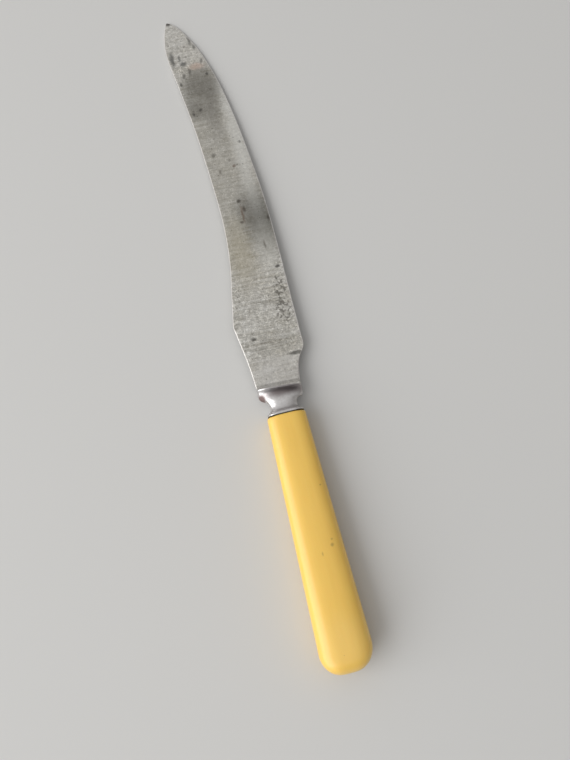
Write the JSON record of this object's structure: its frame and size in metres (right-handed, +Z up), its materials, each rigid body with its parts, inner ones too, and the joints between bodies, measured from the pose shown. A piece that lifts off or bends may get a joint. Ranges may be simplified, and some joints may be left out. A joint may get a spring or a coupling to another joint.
{
  "type": "bread knife",
  "caption": "Cutler's bread knife: long upswept carbon-steel blade with a plain edge, forged iron bolster and cemented tang, and a tapered one-piece ivory-coloured handle.",
  "frame": {"origin": "on the surface that the knife rests on, under the middle of its bounding box", "axes": "+X from the butt of the handle to the tip of the blade, +Y to the back of the blade, +Z up from the surface; the knife lies on its side"},
  "size_m": [0.3807, 0.0358, 0.019],
  "materials": {
    "blade_steel": "satin",
    "forged_iron": "satin",
    "cutlers_cement": "matte",
    "imitation_ivory": "satin"
  },
  "bodies": {
    "root": {"blade": "blade_steel", "bolster_and_tang": "forged_iron", "cement": "cutlers_cement", "handle": "imitation_ivory"}
  },
  "joints": []
}
